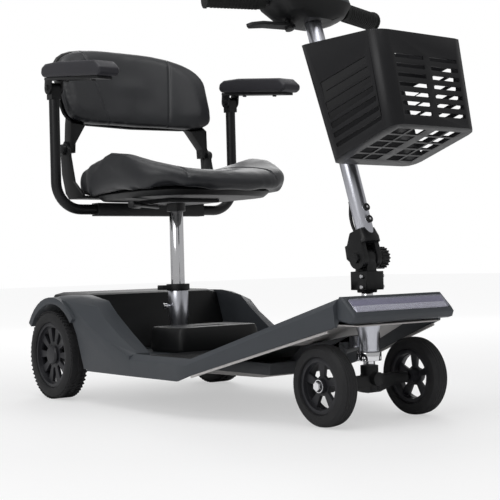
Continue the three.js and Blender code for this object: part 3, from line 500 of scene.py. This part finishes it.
# ---- Lamps and levers ----
# A tinted lens closes the nose over a ribbed strip, dark above and bright below: the lower ribs are bright reflector
# metal, the upper ones a dark tint that is painted shade over the top of the strip; red lamps sit in the back of the
# drive cover.
lens, nodes, links, lens_shader = blank("lamp_glass")
lens_shader.inputs["Base Color"].default_value = (0.5, 0.5, 0.62, 1)
lens_shader.inputs["Roughness"].default_value = 0.05
lens_shader.inputs["Alpha"].default_value = 0.28
lens_shader.inputs["Coat Weight"].default_value = 0.5
kept("lamp_lens", "front_lamp_lens", lens, 0.0008)
bright = drawn("lamp_reflector", (0.8, 0.8, 0.86), (0.12, 0.25), (1, 0.05, 0.05), 0.3)
kept("lamp_reflector", "front_lamp_reflector", bright, 0.0004)
# Painted shade: the upper ribs get a dark tint for the shade over the top of the reflector strip.
lamp_painted_shade = moulded("lamp_upper_painted_shade", (0.13, 0.12, 0.2), (0.15, 0.3), 300.0, 0.0001, 0.1)
row("lamp_upper_ribs", [at(-0.114, -0.888, 0.2262), at(0.114, -0.888, 0.2262)], lamp_painted_shade, "chassis", Blocks=58,
    Block=(0.0125, 0.0039, 0.0012), Facing=(0, -0.7, 0.72))
row("lamp_lower_ribs", [at(-0.114, -0.8985, 0.2161), at(0.114, -0.8985, 0.2161)], bright, "chassis", Blocks=58,
    Block=(0.0125, 0.0026, 0.0012), Facing=(0, -0.7, 0.72))
lamp_red = moulded("lamp_red", (0.35, 0.01, 0.015), (0.08, 0.15), 200.0, 0.0001, 0.1, coat_weight=0.6)
kept("tail_lamp_right", "tail_lamp_near", lamp_red, 0.002)
kept("tail_lamp_left", "tail_lamp_far", lamp_red, 0.002)
kept("freewheel_lever", "freewheel_release", moulded("red_moulding", (0.3, 0.04, 0.03)), 0.001)

# ---- Wheels ----
# Solid tyres on moulded rims. The rear tyres carry three rows of tread blocks,
# the front ones run smooth with fine grooves round them.
tyre_rubber = moulded("tyre_rubber", (0.0145, 0.0145, 0.0155), (0.55, 0.75), 420.0, 0.0005, 0.6)
rim_plastic = moulded("rim_moulding", (0.018, 0.018, 0.021), (0.3, 0.45), 900.0, 0.0002, 0.3)


def lathe_x(title, centre, profile, steps):
    """A closed profile of (radius, x) turned about the wheel's own axle."""
    mesh = bpy.data.meshes.new(title)
    points = [(centre[0] + x, centre[1] + r * math.cos(a), centre[2] + r * math.sin(a))
              for a in (2 * math.pi * i / steps for i in range(steps)) for r, x in profile]
    n = len(profile)
    faces = [(i * n + k, i * n + (k + 1) % n, (i + 1) % steps * n + (k + 1) % n, (i + 1) % steps * n + k)
             for i in range(steps) for k in range(n)]
    mesh.from_pydata(points, [], faces)
    bm = bmesh.new()
    bm.from_mesh(mesh)
    bmesh.ops.recalc_face_normals(bm, faces=bm.faces)
    bm.to_mesh(mesh)
    bm.free()
    return finish_mesh(mesh, 30)


def tread_tree():
    """Rows of rubber blocks set round an axle: count, radius, row offset and block size are inputs."""
    tree, nodes, links, given = growing_tree("tread_blocks", (
        ("Blocks", "NodeSocketInt", 40), ("Radius", "NodeSocketFloat", 0.1),
        ("Block", "NodeSocketVector", (0.01, 0.01, 0.004)), ("Skew", "NodeSocketFloat", 0.0)))
    ring = nodes.new("GeometryNodeMeshCircle")
    links.new(given.outputs["Blocks"], ring.inputs["Vertices"])
    links.new(given.outputs["Radius"], ring.inputs["Radius"])
    block = nodes.new("GeometryNodeMeshCube")
    links.new(given.outputs["Block"], block.inputs["Size"])
    place = nodes.new("GeometryNodeInstanceOnPoints")
    facing = nodes.new("FunctionNodeAlignRotationToVector")
    facing.axis = "Z"
    position = nodes.new("GeometryNodeInputPosition")
    links.new(position.outputs[0], facing.inputs["Vector"])
    links.new(ring.outputs[0], place.inputs["Points"])
    links.new(block.outputs["Mesh"], place.inputs["Instance"])
    links.new(facing.outputs[0], place.inputs["Rotation"])
    turn = nodes.new("GeometryNodeRotateInstances")
    twist = nodes.new("ShaderNodeCombineXYZ")
    links.new(given.outputs["Skew"], twist.inputs["Z"])
    links.new(place.outputs[0], turn.inputs["Instances"])
    links.new(twist.outputs[0], turn.inputs["Rotation"])
    return dressed_tree(tree, turn.outputs[0], given)


TREAD = tread_tree()
for side in ("right", "left"):
    centre, size = middle(f"tyre_rear_{side}")
    half, radius = size.x / 2, size.y / 2
    inner = 0.0753
    carcass = [(inner, -half + 0.004), (inner + 0.003, -half + 0.0005), (0.083, -half), (0.091, -half + 0.0005),
               (radius - 0.0042, -half + 0.004), (radius - 0.002, -half + 0.010), (radius - 0.002, half - 0.010),
               (radius - 0.0042, half - 0.004), (0.091, half - 0.0005), (0.083, half), (inner + 0.003, half - 0.0005),
               (inner, half - 0.004)]
    show(f"rear_tyre_{side}", lathe_x(f"rear_tyre_{side}", centre, carcass, 96), tyre_rubber,
         f"rear_wheel_{side}", f"tyre_rear_{side}", slot="tyre_rubber")
    for band, (offset, skew) in enumerate(((-0.0155, 0.35), (0.0, 0.0), (0.0155, -0.35))):
        blocks = grown(TREAD, f"tread_{side}_{band}", Blocks=58, Radius=radius - 0.0015,
                       Block=(0.0128, 0.0074, 0.0028), Skew=skew, Finish=tyre_rubber)
        turn = Matrix.Translation(centre + Vector((offset, 0, 0))) @ Matrix.Rotation(math.pi / 2, 4, "Y") \
            @ Matrix.Rotation(band * math.pi / 58, 4, "Z")
        blocks.transform(turn)
        show(f"rear_tread_{side}_{band}", finish_mesh(blocks), tyre_rubber, f"rear_wheel_{side}")
    kept(f"rim_rear_{side}", f"rear_rim_{side}", rim_plastic, 0.0012, 2, slot="rim_plastic")

    centre, size = middle(f"tyre_front_{side}")
    half, radius = size.x / 2, size.y / 2
    crown = []
    for k in range(13):
        x = -half * 0.62 + k * half * 1.24 / 12
        crown.append((radius - (0.0012 if k % 3 == 1 else 0) - 0.003 * (x / half) ** 2, x))
    profile = [(0.0523, -half + 0.004), (0.054, -half + 0.001), (0.062, -half), (0.068, -half + 0.001),
               (radius - 0.0035, -half + 0.0045)] + crown + [(radius - 0.0035, half - 0.0045), (0.068, half - 0.001),
               (0.062, half), (0.054, half - 0.001), (0.0523, half - 0.004)]
    show(f"front_tyre_{side}", lathe_x(f"front_tyre_{side}", centre, profile, 96), tyre_rubber,
         f"front_wheel_{side}", f"tyre_front_{side}", slot="tyre_rubber")
    kept(f"rim_front_{side}", f"front_rim_{side}", rim_plastic, 0.0012, 2, slot="rim_plastic")

# ---- Tiller ----
# An anodised extrusion with lengthwise grooves leans back from a cast fold joint
# to the control head; a thin loom runs into the joint behind it.
kept("tiller_tube", "tiller_extrusion", anodised, 0.0006, slot="silver_tube")
LEAN = math.radians(17.8)


def on_tiller(x, y, z):
    """A point on the leaning tiller: z runs up the tube from the fold joint's pin."""
    return at(x, -0.806 + y * math.cos(LEAN) + z * math.sin(LEAN), 0.306 - y * math.sin(LEAN) + z * math.cos(LEAN))


OFF_TUBE = (0, -math.cos(LEAN), math.sin(LEAN))
studs("tube_screw_heads", [on_tiller(0, -0.0352, z) for z in (0.066, 0.09)], black, "tiller", Sides=28, Radius=0.0072,
      Height=0.0045, Facing=OFF_TUBE)
studs("tube_screw_sockets", [on_tiller(0, -0.0376, z) for z in (0.066, 0.09)], chrome, "tiller", Sides=6, Radius=0.0024,
      Height=0.0006, Facing=OFF_TUBE)
for angle in (-60, -20, 20, 60):
    turn = math.radians(angle)
    spot = (0.01655 * math.sin(turn), -0.016 - 0.01655 * math.cos(turn))
    row(f"tube_fillet_{angle + 60}", [on_tiller(*spot, 0.11), on_tiller(*spot, 0.318)], anodised, "tiller", Blocks=2,
        Block=(0.0012, 0.0001, 0.0005), Facing=(spot[0], spot[1], 0))
kept("tilt_knob", "tilt_clamp_knob", black, 0.0015, 2)
for k in range(18):
    turn = 2 * math.pi * k / 18
    spot = (0.0198 * math.cos(turn), 0.0198 * math.sin(turn))
    studs(f"tilt_knob_rib_{k}", [on_tiller(0.0352, *spot)], black, "tilt_knob", Sides=8, Radius=0.0016, Height=0.02,
          Facing=(1, 0, 0))
loom_sheath = moulded("loom_sheath", (0.008, 0.008, 0.008), (0.4, 0.55))
kept("harness", "wiring_loom", loom_sheath, 0.0003, slot="cable_black")
kept("steer_loom", "steering_loom", loom_sheath, 0.0003)
kept("basket_bracket", "basket_carrier", black, 0.0015)
kept("basket", "front_basket", moulded("basket_moulding", (0.0058, 0.0058, 0.007), (0.3, 0.42), 1500.0, 0.00012, 0.25),
     0.0011, 2, 40, "basket_plastic")
kept("head_lower", "control_head_base", black, 0.002, 3)
kept("head_upper", "control_head_cover", charcoal, 0.003, 3)
grip_rubber = moulded("grip_rubber", (0.009, 0.0095, 0.009), (0.6, 0.75), 500.0, 0.0005, 0.8)
for side in ("right", "left"):
    kept(f"bar_{side}", f"handlebar_{side}", black_metal, 0.0006)
    kept(f"grip_{side}", f"hand_grip_{side}", grip_rubber, 0.0015, 3, slot="grip_rubber")
    hand = -1 if side == "right" else 1
    bar = [on_tiller(hand * d, -0.007 + (d - 0.085) * 0.274, 0.532 + (d - 0.085) * 0.067) for d in (0.118, 0.206)]
    reach = (bar[1] - bar[0]).normalized()
    studs(f"grip_ribs_{side}", [bar[0].lerp(bar[1], k / 13) for k in range(14)], grip_rubber, "tiller", Sides=40,
          Radius=0.0192, Height=0.0028, Facing=tuple(reach))
kept("throttle_lever", "throttle_paddle", black, 0.0015, 3)
kept("speed_dial", "speed_setting_dial", black, 0.001, 2)
kept("horn_button", "horn_push_button", moulded("grey_moulding", (0.25, 0.26, 0.28)), 0.0015, 3)

# ---- Seat support and arm frames ----
# A chrome post carries a swivel head; bent black tubes slide in a square sleeve
# and hold the pads on bolted brackets.
kept("seat_post", "chrome_seat_post", chrome, 0.0008, slot="chrome_steel")
kept("seat_mount", "swivel_head_and_sleeve", black_metal, 0.0015)
kept("swivel_lever", "swivel_release_lever", black_metal, 0.0008)
kept("seat_pan", "seat_under_pan", black, 0.002, 2)


def bent_tube(title, side):
    """A round tube: out of the sleeve, up round one bend, and ended by a flat eye for the pad's pivot."""
    bend, outer, low, top = 0.062, 0.25, 0.436, 0.69
    path = [at(side * 0.06, -0.055, low), at(side * (outer - bend), -0.055, low)]
    for k in range(1, 12):
        turn = math.pi / 2 * k / 12
        path.append(at(side * (outer - bend + bend * math.sin(turn)), -0.055, low + bend * (1 - math.cos(turn))))
    path += [at(side * outer, -0.055, low + bend), at(side * outer, -0.055, top)]
    line = bpy.data.curves.new(title, "CURVE")
    line.dimensions = "3D"
    spline = line.splines.new("POLY")
    spline.points.add(len(path) - 1)
    for point, spot in zip(spline.points, path):
        point.co = (*spot, 1)
    line.bevel_depth = 0.012
    line.bevel_resolution = 8
    line.use_fill_caps = True
    holder = bpy.data.objects.new(title + "_work", line)
    scene.collection.objects.link(holder)
    tube = bmesh.new()
    tube.from_mesh(baked(holder, title + "_tube"))
    eye_low, eye_high = at(side * outer - 0.012, -0.067, 0.686), at(side * outer + 0.012, -0.043, 0.712)
    lug = bmesh.ops.create_cube(tube, size=1)["verts"]
    for v in lug:
        v.co = Vector([a + (b - a) * (c + 0.5) for a, b, c in zip(eye_low, eye_high, v.co)])
    pivot = Matrix.Translation(at(side * outer, -0.055, 0.712)) @ Matrix.Rotation(math.pi / 2, 4, "Y")
    bmesh.ops.create_cone(tube, cap_ends=True, segments=28, radius1=0.012, radius2=0.012, depth=0.024, matrix=pivot)
    mesh = bpy.data.meshes.new(title)
    tube.to_mesh(mesh)
    tube.free()
    return finish_mesh(mesh)


for side in ("right", "left"):
    show(f"arm_frame_{side}", bent_tube(f"arm_frame_{side}", -1 if side == "right" else 1), black_metal,
         f"arm_{side}", f"arm_tube_{side}", slot="black_metal")
    kept(f"arm_bracket_{side}", f"arm_pivot_bracket_{side}", black_metal, 0.001)
    kept(f"back_hinge_{side}", f"backrest_knob_{side}", black, 0.0015)
    foam_skin = moulded("arm_foam_skin", (0.024, 0.0235, 0.028), (0.42, 0.55), 1100.0, 0.0003, 0.5)
    pad = kept(f"arm_pad_{side}", f"arm_pad_skin_{side}", foam_skin,
               0.006, 4, 30, "arm_foam")
kept("back_shell", "backrest_shell", black, 0.002, 2)

# ---- Cushions ----
# Seat and back are foam under black leatherette, with a fine pebbled grain.
def build_leather(nodes, links, given, out):
    cells = nodes.new("ShaderNodeTexVoronoi")
    cells.feature = "SMOOTH_F1"
    links.new(given.outputs["Vector"], cells.inputs["Vector"])
    links.new(given.outputs["Pebble"], cells.inputs["Scale"])
    creases = noise_node(nodes, links, given.outputs["Vector"], 55.0, 4.0)
    both = nodes.new("ShaderNodeMath")
    both.operation = "MULTIPLY_ADD"
    both.inputs[1].default_value = 0.8
    links.new(cells.outputs["Distance"], both.inputs[0])
    links.new(creases, both.inputs[2])
    links.new(both.outputs[0], out.inputs["Height"])
    gloss = spread_node(nodes, links, creases, given.outputs["Gloss Low"], given.outputs["Gloss High"])
    links.new(gloss, out.inputs["Roughness"])
    shade = nodes.new("ShaderNodeMix")
    shade.data_type = "RGBA"
    links.new(creases, shade.inputs["Factor"])
    links.new(given.outputs["Colour"], shade.inputs["A"])
    links.new(given.outputs["Worn"], shade.inputs["B"])
    links.new(shade.outputs["Result"], out.inputs["Colour"])


LEATHER = effect_group("leather_grain", [
    ("Vector", "NodeSocketVector", (0, 0, 0)), ("Pebble", "NodeSocketFloat", 700.0),
    ("Colour", "NodeSocketColor", (0.03, 0.03, 0.03, 1)), ("Worn", "NodeSocketColor", (0.04, 0.04, 0.04, 1)),
    ("Gloss Low", "NodeSocketFloat", 0.35), ("Gloss High", "NodeSocketFloat", 0.5)],
    [("Colour", "NodeSocketColor"), ("Roughness", "NodeSocketFloat"), ("Height", "NodeSocketFloat")], build_leather)

leatherette, nodes, links, shader = blank("black_leatherette")
place = nodes.new("ShaderNodeTexCoord")
effect = nodes.new("ShaderNodeGroup")
effect.node_tree = LEATHER
links.new(place.outputs["Object"], effect.inputs["Vector"])
effect.inputs["Colour"].default_value = (0.011, 0.0118, 0.014, 1)
effect.inputs["Worn"].default_value = (0.015, 0.016, 0.019, 1)
effect.inputs["Gloss Low"].default_value, effect.inputs["Gloss High"].default_value = 0.34, 0.46
links.new(effect.outputs["Colour"], shader.inputs["Base Color"])
links.new(effect.outputs["Roughness"], shader.inputs["Roughness"])
bumped(nodes, links, effect.outputs["Height"], shader, 0.0003, 0.35)


def inflated(node, title, shrink, reach, voxel=0.005):
    """The CAD cushion, a little smaller, blown up by cloth pressure and smoothed."""
    bm = bmesh.new()
    bm.from_mesh(frame["nodes"][node].data)
    bmesh.ops.remove_doubles(bm, verts=bm.verts, dist=2e-6)
    centre, size = middle(node)
    for v in bm.verts:
        for k in range(3):
            v.co[k] = centre[k] + (v.co[k] - centre[k]) * (1 - 2 * shrink / size[k])
    mesh = bpy.data.meshes.new(title)
    bm.to_mesh(mesh)
    bm.free()
    work = bpy.data.objects.new(title + "_work", mesh)
    scene.collection.objects.link(work)
    skin = work.modifiers.new("voxels", "REMESH")
    skin.mode = "VOXEL"
    skin.voxel_size = voxel
    smooth = work.modifiers.new("settle", "SMOOTH")
    smooth.iterations = 24
    mesh = baked(work, title)
    start = [v.co.copy() for v in mesh.vertices]
    work = bpy.data.objects.new(title + "_work", mesh.copy())
    scene.collection.objects.link(work)
    cloth = work.modifiers.new("pressure", "CLOTH")
    cloth.settings.use_pressure = True
    cloth.settings.uniform_pressure_force = 4.0
    cloth.settings.effector_weights.gravity = 0.0
    cloth.settings.quality = 5
    cloth.point_cache.frame_start = 1
    cloth.point_cache.frame_end = 20
    for step in range(1, 21):
        scene.frame_set(step)
    blown = baked(work, title + "_blown")
    scene.frame_set(1)
    for v, b, s in zip(mesh.vertices, blown.vertices, start):
        move = b.co - s
        v.co = s + move * min(1, reach / max(move.length, 1e-9))
    work = bpy.data.objects.new(title + "_work", mesh)
    scene.collection.objects.link(work)
    calm = work.modifiers.new("calm", "SMOOTH")
    calm.iterations = 16
    work.modifiers.new("finer", "SUBSURF").levels = 1
    work.modifiers["finer"].render_levels = 1
    result = baked(work, title)
    result.polygons.foreach_set("use_smooth", [True] * len(result.polygons))
    return result


def creased(mesh, line, pull, depth, width):
    """The skin drawn in along a seam, wherever it faces against the pull."""
    pull = Vector(pull)
    outside = [v.index for v in mesh.vertices if v.normal.dot(pull) < -0.3]
    for v in (mesh.vertices[i] for i in outside):
        v.co += pull * depth * math.exp(-((line(v.co) / width) ** 2))
    return mesh


def stitched(title, mesh, body, lines, pull):
    """Two rows of thread beside each seam, laid on the skin and facing out of it."""
    skin = BVHTree.FromPolygons([v.co for v in mesh.vertices], [p.vertices for p in mesh.polygons])
    pull = Vector(pull)
    for k, (start, end) in enumerate(lines):
        for beside in (-0.0038, 0.0038):
            path = []
            for step in range(41):
                spot = start.lerp(end, step / 40) + Vector((beside, 0, 0))
                hit = skin.ray_cast(spot - pull * 0.4, pull)[0]
                if hit:
                    path.append(hit - pull * 0.0002)
            span = sum((b - a).length for a, b in zip(path, path[1:]))
            row(f"{title}_{k}_{'in' if beside < 0 else 'out'}", path, thread, body, Blocks=int(span / 0.0052),
                Block=(0.0009, 0.0036, 0.0008), Facing=tuple(-pull))


thread = moulded("seam_thread", (0.03, 0.031, 0.034), (0.5, 0.65), 900.0, 0.0001, 0.2)
SEAT_SEAM, BACK_SEAM = 0.118, (0.082, 0.128)
SEAM_DEPTH, SEAM_WIDTH = 0.0022, 0.0032
seat_mesh = creased(inflated("seat_cushion", "seat_pad", 0.003, 0.003), lambda c: abs(c.x) - SEAT_SEAM,
                    (0, 0, -1), SEAM_DEPTH, SEAM_WIDTH)
seat_pad = show("seat_pad", seat_mesh, leatherette, "seat", "seat_cushion", slot="soft_vinyl")
stitched("seat_stitches", seat_mesh, "seat",
         [(at(s * SEAT_SEAM, -0.4, 0.5), at(s * SEAT_SEAM, -0.03, 0.5)) for s in (-1, 1)], (0, 0, -1))
back_low, back_high = (Vector(c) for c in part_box("back_cushion"))


def back_seam(height):
    return BACK_SEAM[0] + (BACK_SEAM[1] - BACK_SEAM[0]) * (height - back_low.z) / (back_high.z - back_low.z)


back_mesh = creased(inflated("back_cushion", "back_pad", 0.003, 0.003), lambda c: abs(c.x) - back_seam(c.z),
                    (0, 1, 0), SEAM_DEPTH, SEAM_WIDTH)
back_pad = show("back_pad", back_mesh, leatherette, "backrest", "back_cushion", slot="soft_vinyl")
stitched("back_stitches", back_mesh, "backrest",
         [(Vector((s * back_seam(back_low.z + 0.012), 0.4, back_low.z + 0.012)),
           Vector((s * back_seam(back_high.z - 0.012), 0.4, back_high.z - 0.012))) for s in (-1, 1)], (0, 1, 0))
